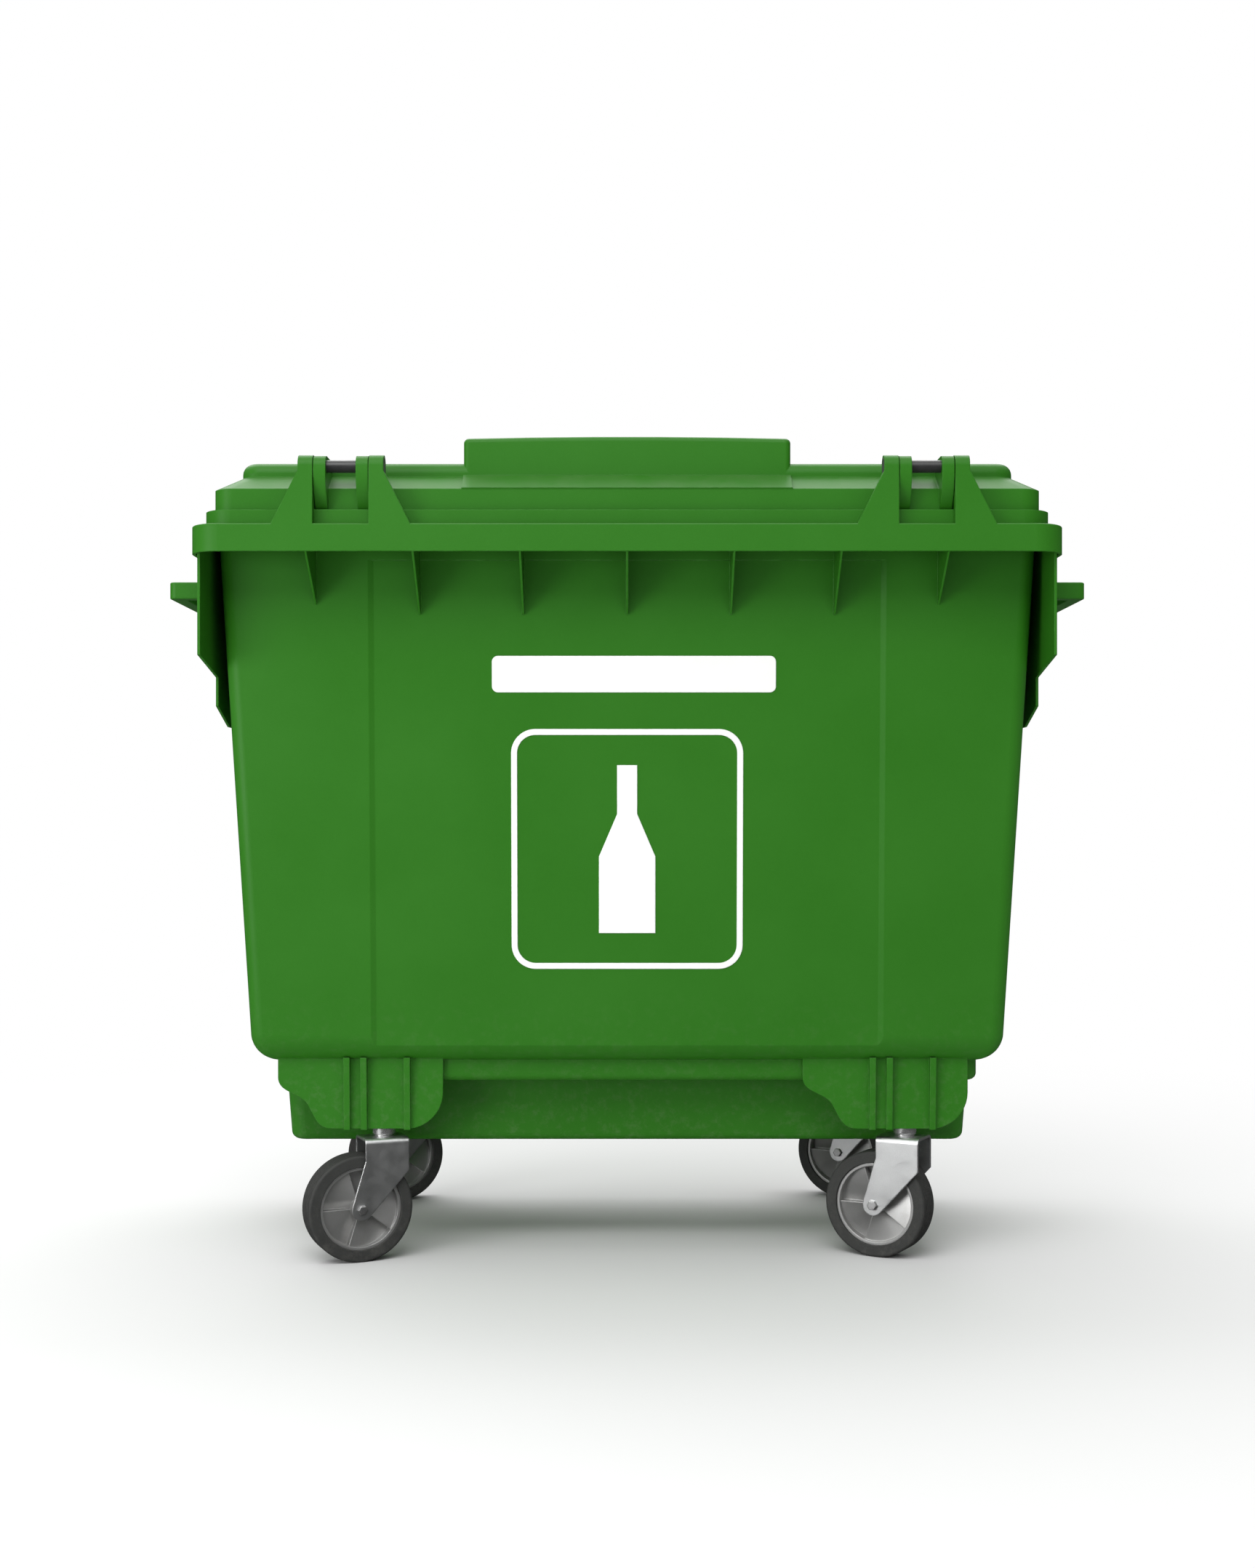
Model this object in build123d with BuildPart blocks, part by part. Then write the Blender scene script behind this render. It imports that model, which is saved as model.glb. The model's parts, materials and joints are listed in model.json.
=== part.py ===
from build123d import *
import math
import os

os.makedirs("parts", exist_ok=True)

# Four-wheeled refuse container with a hinged lid, in millimetres.
# +Z is up from the ground, +X runs along the long side and the hinge side faces -Y.
# The origin is on the ground under the middle of the rim.

# Wheels and the heights that follow from them
wheel_radius = 80.0
wheel_width = 45.0
fork_headroom = 25.0
spigot_gap = 13.0
bracket_height = 71.0
plinth_height = 31.0
tray_headroom = 8.0
tub_height = 785.0

# Tub
rim_width = 1257.0
rim_depth = 770.0
rim_band = 40.0
rim_corner = 45.0
rim_wall = 5.0
rim_edge_radius = 2.5
join_depth = 1.0
overhang_side = 24.0
overhang_hinge = 89.0
overhang_front = 39.0
tub_wall = 6.0
tub_corner = 22.0
draft_angle = 3.05
belly_radius = 44.0
panel_half_width = 374.0
panel_recess = 3.0
panel_slope_run = 8.0
panel_cut_outside = 10.0

# Plinth and tray under the belly
plinth_inset = 32.0
plinth_corner = 26.0
plinth_radius = 10.0
tray_from_pin = 52.0
tray_side_step = 2.0
tray_taper = 7.0
tray_radius = 12.0

# Rim ribs
rib_pitch = 153.0
rib_thickness = 3.0
rib_drop = 79.0
outer_rib_drop = 66.0

# Side aprons, each corner given inward from the rim's edge and down from its top
apron_thickness = 4.0
apron_inset = 9.5
apron_corners = [(30.0, 185.0), (154.0, 208.0), (154.0, 251.0), (237.0, 278.0)]

# Grab handles
handle_drop = 67.5
handle_height = 25.0
handle_bar = 22.0
handle_reach = 65.0
handle_half_length = 255.0
handle_corner = 10.0
handle_edge_radius = 2.0

# Hinges
hinge_spacing = 836.0
hinge_shift = 9.5
hinge_axis_above_rim = 83.0
knuckle_wall = 7.0
pin_radius = 9.0
running_clearance = 0.06
ear_inner = 40.0
ear_width = 21.0
ear_flare = 38.0
ear_base_depth = 15.0
arm_width = 17.4
arm_clearance = 1.0
arm_front_curve = 74.0
arm_foot_out = 4.0
arm_back_reach = 10.0
arm_knuckle_step = 1.0
cap_overhang = 3.5
cap_thickness = 3.0

# Lid
lid_wall = 4.0
lid_inset = 17.0
lid_corner = 42.0
flange_height = 22.0
step_inset = 13.0
step_height = 32.0
shoulder_inset = 34.0
shoulder_height = 23.0
shoulder_corner = 26.0
dome_height = 22.0
dome_radius = 16.0
hood_half_width = 238.5
hood_height = 38.0
hood_radius = 8.0
hood_edge_radius = 7.0
hood_crown = 3.0
hood_lip = 3.0
grip_offset = 330.0
grip_half_length = 70.0
grip_reach = 14.0
grip_gap = 9.0
grip_corner = 6.0
grip_edge_radius = 2.0

# Caster brackets moulded under the plinth
pin_from_plinth_face = 12.0
pin_from_left_end = 162.0
pin_from_right_end = 109.5
plate_left = 157.0
plate_right = 91.5
plate_thickness = 5.0
plate_from_pin = 20.0
plate_arc = 55.0
plate_shoulder = 55.0
plate_waist = 41.0
plate_sweep_in = 18.0
plate_sweep_rise = 23.0
socket_wall = 8.7
bracket_ribs = [-52.5, -27.0, 38.0]
bracket_rib_width = 9.5
bracket_rib_depth = 11.0
bracket_rib_foot = 5.0
rib_foot_drop = 1.0

# Casters
trail = 41.0
fork_sheet = 4.0
wheel_side_gap = 2.5
fork_lead = 31.0
fork_back = 36.0
fork_boss = 16.0
fork_bend = 8.0
fork_back_drop = 33.0
fork_lead_drop = 50.0
spigot_radius = 17.3
spigot_length = 62.0
race_thickness = 3.0
race_radius = 15.0
kingpin_radius = 6.0
kingpin_flats = 19.0
kingpin_head = 7.5
axle_radius = 4.0
axle_flats = 13.0
axle_head = 5.5
axle_nut = 6.5
axle_tail = 3.0
sleeve_wall = 3.0
tyre_depth = 17.5
tyre_edge_radius = 4.0
tread_grooves = 6
groove_depth = 1.6
groove_width = 2.0
hub_boss_wall = 8.0
hub_side_step = 3.5
hub_rim_wall = 5.0
blade_pairs = 5
blade_high = 16.0
blade_middle = 10.0
blade_low = 3.0
blade_rim_gap = 1.5
blade_hub_gap = 3.0
boss_side_gap = 1.0
caster_yaw = {"left": 203.0, "right": 151.0}

# Parking brakes on the two front casters
brake_pivot_along = 10.0
brake_pivot_above_axle = 58.0
brake_rivet_radius = 3.5
brake_rivet_head = 6.0
brake_sheet = 3.0
brake_side_gap = 1.0
brake_boss = 9.0
pad_gap = 6.0
pad_angle = 35.0
pad_thickness = 5.0
pad_half_length = 12.0
pedal_length = 42.0
pedal_rise = 3.0

# Drain plug
drain_radius = 22.0
drain_clearance = 0.3
plug_flange_radius = 32.0
plug_flange = 6.0
plug_bar_height = 9.0
plug_bar_width = 8.0
plug_bar_length = 48.0
seal_inset = 1.0
seal_thickness = 2.0

# Raised white markings on the hinge-side wall
mark_thickness = 1.0
label_width = 420.0
label_height = 54.0
label_shift = 10.0
label_below_rim = 207.0
badge_width = 344.0
badge_height = 357.0
badge_below_rim = 466.0
badge_corner = 36.0
badge_line = 9.0
bottle_height = 250.0
bottle_radius = 42.0
bottle_neck_radius = 15.0

# Worked-out places
fork_top = 2 * wheel_radius + fork_headroom
plate_bottom = fork_top + spigot_gap
plinth_bottom = plate_bottom + bracket_height
belly_bottom = plinth_bottom + plinth_height
tray_bottom = 2 * wheel_radius + tray_headroom
rim_top = belly_bottom + tub_height
rim_bottom = rim_top - rim_band
half_rim_width = rim_width / 2
half_rim_depth = rim_depth / 2
slope = math.tan(math.radians(draft_angle))
tub_y = (overhang_hinge - overhang_front) / 2
tub_half_x = half_rim_width - overhang_side
tub_half_y = half_rim_depth - (overhang_hinge + overhang_front) / 2
belly_half_x = tub_half_x - tub_height * slope
belly_half_y = tub_half_y - tub_height * slope
plinth_half_x = belly_half_x - plinth_inset
plinth_half_y = belly_half_y - plinth_inset
caster_offset = plinth_half_y - pin_from_plinth_face
tray_half_x = plinth_half_x - tray_side_step
tray_half_y = caster_offset - tray_from_pin
caster_x = {"left": pin_from_left_end - plinth_half_x, "right": plinth_half_x - pin_from_right_end}
knuckle_radius = pin_radius + knuckle_wall
hinge_y = knuckle_radius - half_rim_depth
hinge_z = rim_top + hinge_axis_above_rim
hinge_x = {"left": hinge_shift - hinge_spacing / 2, "right": hinge_shift + hinge_spacing / 2}
fork_inside = wheel_width + 2 * wheel_side_gap
fork_width = fork_inside + 2 * fork_sheet
sleeve_radius = axle_radius + sleeve_wall
hub_boss_radius = sleeve_radius + hub_boss_wall
hub_width = wheel_width - 2 * hub_side_step
socket_radius = spigot_radius + socket_wall
cap_radius = pin_radius + cap_overhang
corners = [("rear", -1), ("front", 1)]


def rounded_block(low, high, corner, low_z, high_z, y=0.0):
    """An upright block with rounded corners between two half sizes."""
    with BuildPart() as block:
        with BuildSketch(Plane((0, y, low_z))):
            RectangleRounded(2 * low[0], 2 * low[1], corner)
        with BuildSketch(Plane((0, y, high_z))):
            RectangleRounded(2 * high[0], 2 * high[1], corner)
        loft()
    return block.part


def round_end(shape, radius, end):
    """The same block with its lowest (0) or highest (-1) edge rounded."""
    with BuildPart() as rounded:
        add(shape)
        fillet(rounded.edges().group_by(Axis.Z)[end], radius)
    return rounded.part


def drafted_slab(plane, along, centre, half_low, half_top, low_z, radius):
    """A long slab along one axis with drafted sides and rounded lower edges."""
    with BuildPart() as slab:
        with BuildSketch(plane):
            with BuildLine():
                Polyline(
                    (centre - half_top, rim_top),
                    (centre - half_low, low_z),
                    (centre + half_low, low_z),
                    (centre + half_top, rim_top),
                    close=True,
                )
            make_face()
        extrude(amount=rim_width, both=True)
        fillet(slab.edges().filter_by(along).group_by(Axis.Z)[0], radius)
    return slab.part


def tub_block(inset, low_z):
    """The drafted body of the tub up to the rim's top, moved in by a wall."""
    low_shift = (rim_top - low_z) * slope + inset
    low_x = tub_half_x - low_shift
    low_y = tub_half_y - low_shift
    radius = belly_radius - inset
    with BuildPart() as block:
        add(drafted_slab(Plane.XZ, Axis.Y, 0, low_x, tub_half_x - inset, low_z, radius))
        across = drafted_slab(Plane.YZ, Axis.X, tub_y, low_y, tub_half_y - inset, low_z, radius)
        add(across, mode=Mode.INTERSECT)
        far_out = [edge for edge in block.edges() if abs(edge.center().X) > low_x - radius]
        upright = [edge for edge in far_out if abs(edge.center().Y - tub_y) > low_y - radius]
        fillet(upright, tub_corner - inset)
    return block.part


def plinth_block(inset):
    """The shallow plinth under the belly."""
    half = (plinth_half_x - inset, plinth_half_y - inset)
    top = belly_bottom + tub_wall
    block = rounded_block(half, half, plinth_corner - inset, plinth_bottom + inset, top, tub_y)
    return round_end(block, plinth_radius - inset / 2, 0)


def tray_block(inset):
    """The deep tray between the wheels."""
    low = (tray_half_x - tray_taper - inset, tray_half_y - tray_taper - inset)
    high = (tray_half_x - inset, tray_half_y - inset)
    top = plinth_bottom + tub_wall
    block = rounded_block(low, high, plinth_corner - inset, tray_bottom + inset, top, tub_y)
    return round_end(block, tray_radius - inset / 2, 0)


def rim_cap():
    """The rim: a flat shelf with a band hanging from its edge, open below."""
    inner_width = rim_width - 2 * rim_wall
    inner_depth = rim_depth - 2 * rim_wall
    with BuildPart() as cap:
        with BuildSketch(Plane.XY.offset(rim_bottom)):
            RectangleRounded(rim_width, rim_depth, rim_corner)
        extrude(amount=rim_band)
        fillet(cap.edges().group_by(Axis.Z)[-1], rim_edge_radius)
        with BuildSketch(Plane.XY.offset(rim_bottom)):
            RectangleRounded(inner_width, inner_depth, rim_corner - rim_wall)
        extrude(amount=rim_band - rim_wall, mode=Mode.SUBTRACT)
    return cap.part


def wall_y(z, side):
    """The outer face of a long wall at a height; side is -1 at the hinges, 1 at the front."""
    return tub_y + side * (tub_half_y - (rim_top - z) * slope)


def rim_rib(x, drop, side):
    """One triangular rib between the band, the shelf and a long wall."""
    foot_z = rim_bottom - drop
    shelf_z = rim_top - rim_wall / 2
    band_y = side * (half_rim_depth - rim_wall / 2)
    buried = side * tub_wall / 2
    with BuildPart() as rib:
        with BuildSketch(Plane.YZ.offset(x)):
            with BuildLine():
                Polyline(
                    (band_y, rim_bottom + join_depth),
                    (wall_y(foot_z, side), foot_z),
                    (wall_y(foot_z, side) - buried, foot_z),
                    (wall_y(shelf_z, side) - buried, shelf_z),
                    (band_y, shelf_z),
                    close=True,
                )
            make_face()
        extrude(amount=rib_thickness / 2, both=True)
    return rib.part


def panel_slab(side):
    """The slab cut from a long wall so that its centre panel is set back, with sloping ends."""
    low_z = belly_bottom
    high_z = rim_bottom
    end = panel_half_width + panel_slope_run
    sections = [(-end, 0.0), (-panel_half_width, panel_recess), (panel_half_width, panel_recess), (end, 0.0)]
    with BuildPart() as slab:
        for x, depth in sections:
            inner = -side * depth
            outer = side * panel_cut_outside
            with BuildSketch(Plane.YZ.offset(x)):
                with BuildLine():
                    Polyline(
                        (wall_y(low_z, side) + inner, low_z),
                        (wall_y(low_z, side) + outer, low_z),
                        (wall_y(high_z, side) + outer, high_z),
                        (wall_y(high_z, side) + inner, high_z),
                        close=True,
                    )
                make_face()
        loft(ruled=True)
    return slab.part


def apron(side):
    """The plate that hangs under the rim along a short wall."""
    x = side * (half_rim_width - apron_inset - apron_thickness / 2)
    top = (half_rim_depth - apron_corners[0][0], rim_top - rim_wall / 2)
    front = [top] + [(half_rim_depth - inward, rim_top - drop) for inward, drop in apron_corners]
    back = [(-y, z) for y, z in reversed(front)]
    with BuildPart() as plate:
        with BuildSketch(Plane.YZ.offset(x)):
            with BuildLine():
                Polyline(*front, *back, close=True)
            make_face()
        extrude(amount=apron_thickness / 2, both=True)
    return plate.part


def grab_handle(side):
    """A D-shaped loop standing out from an apron."""
    inner_x = half_rim_width - apron_inset - apron_thickness / 2
    outer_x = half_rim_width - apron_inset + handle_reach
    reach = outer_x - inner_x
    length = 2 * handle_half_length
    with BuildPart() as loop:
        with BuildSketch(Plane((side * (inner_x + outer_x) / 2, 0, rim_top - handle_drop))):
            RectangleRounded(reach, length, handle_corner)
            with Locations((-side * handle_bar, 0)):
                Rectangle(reach, length - 2 * handle_bar, mode=Mode.SUBTRACT)
        extrude(amount=-handle_height)
        fillet(loop.edges().group_by(Axis.Z)[-1], handle_edge_radius)
        fillet(loop.edges().group_by(Axis.Z)[0], handle_edge_radius)
    return loop.part


def hinge_ear(centre, side):
    """One flared ear standing on the rim outside a lid arm."""
    inner = centre + side * ear_inner
    outer = centre + side * (ear_inner + ear_width)
    foot = outer + side * ear_flare
    foot_z = rim_top - rim_wall
    top_z = hinge_z + knuckle_radius
    front_y = -half_rim_depth
    base_y = front_y + ear_base_depth
    with BuildPart() as ear:
        with BuildSketch(Plane.XZ.offset(half_rim_depth)):
            with BuildLine():
                Polyline(
                    (inner, foot_z),
                    (foot, foot_z),
                    (foot, rim_top),
                    (outer, hinge_z - knuckle_radius / 2),
                    (outer, top_z),
                    (inner, top_z),
                    close=True,
                )
            make_face()
        extrude(amount=-2 * knuckle_radius)
        with BuildSketch(Plane.YZ.offset(centre)):
            with BuildLine():
                Polyline(
                    (front_y, foot_z),
                    (base_y, foot_z),
                    (base_y, hinge_z - 2 * knuckle_radius),
                    (hinge_y + knuckle_radius, hinge_z),
                    (front_y, hinge_z),
                    close=True,
                )
            make_face()
            with Locations((hinge_y, hinge_z)):
                Circle(knuckle_radius)
        extrude(amount=ear_inner + ear_width + ear_flare + join_depth, both=True, mode=Mode.INTERSECT)
        with BuildSketch(Plane.YZ.offset(centre)):
            with Locations((hinge_y, hinge_z)):
                Circle(pin_radius)
        extrude(amount=ear_inner + ear_width + join_depth, both=True, mode=Mode.SUBTRACT)
        with BuildSketch(Plane.YZ.offset(outer)):
            with Locations((hinge_y, hinge_z)):
                Circle(cap_radius)
        extrude(amount=-side * cap_thickness, mode=Mode.SUBTRACT)
    return ear.part


def bracket_plate(x, face_y, side):
    """The upright plate of a caster bracket, with a quarter-round and a swept corner."""
    top = belly_bottom + tub_wall
    with BuildPart() as plate:
        with BuildSketch(Plane((x, face_y, 0), x_dir=(1, 0, 0), z_dir=(0, -1, 0))):
            with BuildLine():
                start = (plate_right, plate_bottom + plate_arc)
                turn = (plate_right - plate_arc, plate_bottom)
                sweep_start = (-plate_left + 2 * plate_waist, plate_bottom)
                sweep_end = (-plate_left, plate_bottom + plate_shoulder + plate_sweep_rise)
                RadiusArc(start, turn, plate_arc)
                Line(turn, sweep_start)
                Spline(
                    sweep_start,
                    (-plate_left + plate_waist, plate_bottom + plate_waist),
                    (-plate_left + plate_sweep_in, plate_bottom + plate_shoulder),
                    sweep_end,
                    tangents=((-1, 0), (0, 1)),
                )
                Polyline(sweep_end, (-plate_left, top), (plate_right, top), start)
            make_face()
        extrude(amount=side * plate_thickness)
    return plate.part


def bracket_rib(x, face_y, side):
    """One tapering rib standing in front of a bracket plate."""
    top = belly_bottom + tub_wall
    foot = plate_bottom - rib_foot_drop
    back = face_y - side * plate_thickness / 2
    with BuildPart() as rib:
        with BuildSketch(Plane.YZ.offset(x)):
            with BuildLine():
                Polyline(
                    (back, top),
                    (face_y + side * bracket_rib_depth, top),
                    (face_y + side * bracket_rib_foot, foot),
                    (back, foot),
                    close=True,
                )
            make_face()
        extrude(amount=bracket_rib_width / 2, both=True)
    return rib.part


def socket(x, pin_y, face_y):
    """The boss that takes a caster's spigot, tied to the plate and the tray by a web."""
    top = plinth_bottom + tub_wall / 2
    web_length = abs(tub_y - face_y) - tray_half_y + tray_taper
    web_y = face_y + math.copysign(web_length / 2, tub_y - face_y)
    outward = math.copysign((socket_radius - plate_thickness) / 2, face_y - pin_y)
    with BuildPart() as boss:
        with BuildSketch(Plane((x, pin_y, plate_bottom))):
            Circle(socket_radius)
            with Locations((0, face_y - pin_y + outward)):
                Rectangle(2 * socket_radius, socket_radius, mode=Mode.SUBTRACT)
        extrude(amount=top - plate_bottom)
        with BuildSketch(Plane((x, web_y, plate_bottom))):
            Rectangle(plate_thickness, web_length)
        extrude(amount=top - plate_bottom)
    return boss.part


def socket_bore(x, pin_y):
    """The bore that a spigot is pressed into."""
    with BuildPart() as bore:
        with BuildSketch(Plane((x, pin_y, plate_bottom))):
            Circle(spigot_radius)
        extrude(amount=spigot_length - spigot_gap + race_thickness)
    return bore.part


# Tub: the moulded body with its rim, ribs, aprons, handles, ears and brackets
tub_outer = [tub_block(0, belly_bottom), plinth_block(0), tray_block(0), rim_cap()]
tub_inner = [tub_block(tub_wall, belly_bottom + tub_wall), plinth_block(tub_wall), tray_block(tub_wall)]
rib_places = [(n * rib_pitch, outer_rib_drop if abs(n) == 3 else rib_drop) for n in range(-3, 4)]
rim_ribs = [rim_rib(x, drop, side) for x, drop in rib_places for _, side in corners]
side_plates = [apron(side) for side in (-1, 1)] + [grab_handle(side) for side in (-1, 1)]
ears = [hinge_ear(centre, side) for centre in hinge_x.values() for side in (-1, 1)]
panel_slabs = [panel_slab(side) for _, side in corners]
brackets = []
socket_bores = []
for _, side in corners:
    for pin_x in caster_x.values():
        pin_y = tub_y + side * caster_offset
        face_y = pin_y + side * plate_from_pin
        brackets.append(bracket_plate(pin_x, face_y, side))
        brackets.append(socket(pin_x, pin_y, face_y))
        socket_bores.append(socket_bore(pin_x, pin_y))
        brackets += [bracket_rib(pin_x + rib_x, face_y, side) for rib_x in bracket_ribs]

with BuildPart() as tub:
    add(tub_outer[0])
    add(panel_slabs, mode=Mode.SUBTRACT)
    add(tub_outer[1:])
    add(rim_ribs)
    add(side_plates)
    add(brackets)
    add(tub_inner + socket_bores, mode=Mode.SUBTRACT)
    add(ears)
    with BuildSketch(Plane((0, tub_y, tray_bottom))):
        Circle(drain_radius)
    extrude(amount=2 * tub_wall, mode=Mode.SUBTRACT)
tub.part.label = "tub"
export_step(tub.part, "parts/tub.step")


def lid_levels(wall):
    """Half sizes and heights of the lid's flange, step, shoulder and dome, moved in by a wall."""
    flange = (half_rim_width - lid_inset - wall, half_rim_depth - lid_inset - wall)
    step = (flange[0] - step_inset, flange[1] - step_inset)
    dome = (step[0] - shoulder_inset, step[1] - shoulder_inset)
    flange_top = rim_top + flange_height - wall
    step_top = rim_top + flange_height + step_height - wall
    shoulder_top = step_top + shoulder_height
    return flange, step, dome, flange_top, step_top, shoulder_top


def lid_stack(wall):
    """The lid's stepped, domed body, or the hollow inside it when given a wall."""
    flange, step, dome, flange_top, step_top, shoulder_top = lid_levels(wall)
    dome_top = shoulder_top + dome_height
    step_corner = lid_corner - step_inset
    dome_block = rounded_block(dome, dome, shoulder_corner, shoulder_top, dome_top)
    step_block = rounded_block(step, step, step_corner - wall / 2, rim_top, step_top)
    with BuildPart() as stack:
        add(rounded_block(flange, flange, lid_corner - wall, rim_top, flange_top))
        add(step_block)
        with BuildSketch(Plane.XY.offset(step_top)):
            RectangleRounded(2 * step[0], 2 * step[1], step_corner - wall / 2)
        with BuildSketch(Plane.XY.offset(shoulder_top)):
            RectangleRounded(2 * dome[0], 2 * dome[1], shoulder_corner)
        loft()
        add(round_end(dome_block, dome_radius, -1))
    return stack.part


def lid_hood(wall):
    """The raised box across the middle of the lid, or its hollow when given a wall."""
    _, _, dome, _, _, shoulder_top = lid_levels(0)
    half_width = hood_half_width - wall
    half_depth = dome[1] - wall
    base_z = shoulder_top - 2 * wall
    crown_z = shoulder_top + dome_height + hood_height - wall
    with BuildPart() as hood:
        with BuildSketch(Plane.XZ.offset(-half_depth)):
            with BuildLine():
                left = (-half_width, crown_z - hood_crown)
                right = (half_width, crown_z - hood_crown)
                ThreePointArc(left, (0, crown_z), right)
                Polyline(right, (half_width, base_z), (-half_width, base_z), left)
            make_face()
        extrude(amount=2 * half_depth)
        fillet(hood.edges().filter_by(Axis.Z), hood_radius)
        fillet(hood.faces().sort_by(Axis.Z)[-1].edges(), hood_edge_radius)
    return hood.part


def hood_lip_strip(side):
    """The thicker strip that carries the hood's width over the sloping shoulder."""
    _, step, dome, _, step_top, shoulder_top = lid_levels(0)
    tilt = math.atan2(shoulder_height, shoulder_inset)
    out_y = hood_lip * math.sin(tilt)
    out_z = hood_lip * math.cos(tilt)
    with BuildPart() as strip:
        with BuildSketch(Plane.YZ):
            with BuildLine():
                Polyline(
                    (side * step[1], step_top - join_depth),
                    (side * (step[1] + out_y), step_top + out_z - join_depth),
                    (side * (dome[1] + out_y), shoulder_top + out_z),
                    (side * (dome[1] - hood_lip), shoulder_top + out_z),
                    (side * (dome[1] - hood_lip), shoulder_top - join_depth),
                    close=True,
                )
            make_face()
        extrude(amount=hood_half_width, both=True)
    return strip.part


def lid_arm(centre, side):
    """One curved arm that carries the lid from a hinge pin."""
    _, step, dome, flange_top, _, shoulder_top = lid_levels(0)
    outer = ear_inner - arm_clearance
    top_z = hinge_z + knuckle_radius - arm_knuckle_step
    with BuildPart() as arm:
        with BuildSketch(Plane.YZ.offset(centre + side * (outer - arm_width / 2))):
            with BuildLine():
                front = (hinge_y - knuckle_radius + arm_knuckle_step, hinge_z)
                foot = (-step[1] - arm_foot_out, flange_top)
                RadiusArc(front, foot, -arm_front_curve)
                Polyline(
                    foot,
                    (-dome[1], flange_top),
                    (dome_radius + arm_back_reach - dome[1], shoulder_top),
                    (dome_radius + arm_back_reach - dome[1], shoulder_top + dome_height),
                    (hinge_y, top_z),
                    front,
                )
            make_face()
            with Locations((hinge_y, hinge_z)):
                Circle(knuckle_radius - arm_knuckle_step)
        extrude(amount=arm_width / 2, both=True)
    return arm.part


def lid_grip(x):
    """A moulded lip on the lid's front edge for lifting it by hand."""
    flange, _, _, flange_top, _, _ = lid_levels(0)
    with BuildPart() as grip:
        with BuildSketch(Plane((x, flange[1], rim_top + grip_gap))):
            RectangleRounded(2 * grip_half_length, 2 * grip_reach, grip_corner)
        extrude(amount=flange_height - grip_gap)
        fillet(grip.edges().group_by(Axis.Z)[-1], grip_edge_radius)
    return grip.part


# Lid: one thin moulding with its hood, arms and grips
lid_outside = [lid_stack(0), lid_hood(0)] + [hood_lip_strip(side) for side in (-1, 1)]
lid_outside += [lid_arm(centre, side) for centre in hinge_x.values() for side in (-1, 1)]
lid_outside += [lid_grip(x) for x in (-grip_offset, grip_offset)]
lid_inside = [lid_stack(lid_wall), lid_hood(lid_wall)]

with BuildPart() as lid:
    add(lid_outside)
    add(lid_inside, mode=Mode.SUBTRACT)
    with BuildSketch(Plane.YZ):
        with Locations((hinge_y, hinge_z)):
            Circle(pin_radius + running_clearance)
    extrude(amount=half_rim_width, both=True, mode=Mode.SUBTRACT)
lid.part.label = "lid"
export_step(lid.part, "parts/lid.step")

# Hinge pins, each held in two ears, with a push-on cap at either end
ear_outer = ear_inner + ear_width
for name, centre in hinge_x.items():
    with BuildPart() as hinge_pin:
        with BuildSketch(Plane.YZ.offset(centre)):
            with Locations((hinge_y, hinge_z)):
                Circle(pin_radius)
        extrude(amount=ear_outer - cap_thickness, both=True)
    hinge_pin.part.label = f"hinge_pin_{name}"
    export_step(hinge_pin.part, f"parts/hinge_pin_{name}.step")

with BuildPart() as hinge_pin_caps:
    for centre in hinge_x.values():
        for side in (-1, 1):
            with BuildSketch(Plane.YZ.offset(centre + side * (ear_outer - cap_thickness))):
                with Locations((hinge_y, hinge_z)):
                    Circle(cap_radius)
            extrude(amount=side * cap_thickness)
hinge_pin_caps.part.label = "hinge_pin_caps"
export_step(hinge_pin_caps.part, "parts/hinge_pin_caps.step")


def tangent_point(point, centre, radius, turn):
    """Where a line from a point touches a circle, on the side that turn picks."""
    across = math.atan2(point[1] - centre[1], point[0] - centre[0])
    spread = math.acos(radius / math.dist(point, centre))
    angle = across + turn * spread
    return (centre[0] + radius * math.cos(angle), centre[1] + radius * math.sin(angle))


def make_fork(braked):
    """The bent-sheet fork, pin axis at the origin and wheel trailing along +X."""
    axle = (trail, wheel_radius)
    back = (fork_back, fork_top - fork_back_drop)
    lead = (-fork_lead, fork_top - fork_lead_drop)
    with BuildPart() as fork:
        with BuildSketch(Plane.XZ):
            with BuildLine():
                Polyline(
                    (-fork_lead, fork_top),
                    (fork_back, fork_top),
                    back,
                    tangent_point(back, axle, fork_boss, -1),
                    tangent_point(lead, axle, fork_boss, 1),
                    lead,
                    close=True,
                )
            make_face()
            with Locations(axle):
                Circle(fork_boss)
        extrude(amount=fork_width / 2, both=True)
        top_edges = fork.edges().filter_by(Axis.X).group_by(Axis.Z)[-1]
        fillet(top_edges, fork_bend)
        slot_foot = wheel_radius - fork_boss - join_depth
        slot_top = fork_top - fork_sheet
        with BuildSketch(Plane.YZ.offset(-fork_lead - join_depth)) as slot:
            with BuildLine():
                half = fork_inside / 2
                bend = fork_bend - fork_sheet
                Polyline(
                    (half, slot_top - bend),
                    (half, slot_foot),
                    (-half, slot_foot),
                    (-half, slot_top - bend),
                )
                RadiusArc((-half, slot_top - bend), (bend - half, slot_top), bend)
                Line((bend - half, slot_top), (half - bend, slot_top))
                RadiusArc((half - bend, slot_top), (half, slot_top - bend), bend)
            make_face()
        extrude(amount=2 * fork_width + fork_lead, mode=Mode.SUBTRACT)
        with BuildSketch(Plane.XZ):
            with Locations(axle):
                Circle(axle_radius + running_clearance)
            if braked:
                with Locations((brake_pivot_along, wheel_radius + brake_pivot_above_axle)):
                    Circle(brake_rivet_radius)
        extrude(amount=fork_width, both=True, mode=Mode.SUBTRACT)
        with BuildSketch(Plane.XY.offset(fork_top)):
            Circle(kingpin_radius + running_clearance)
        extrude(amount=-2 * fork_sheet, mode=Mode.SUBTRACT)
    return fork.part


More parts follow.
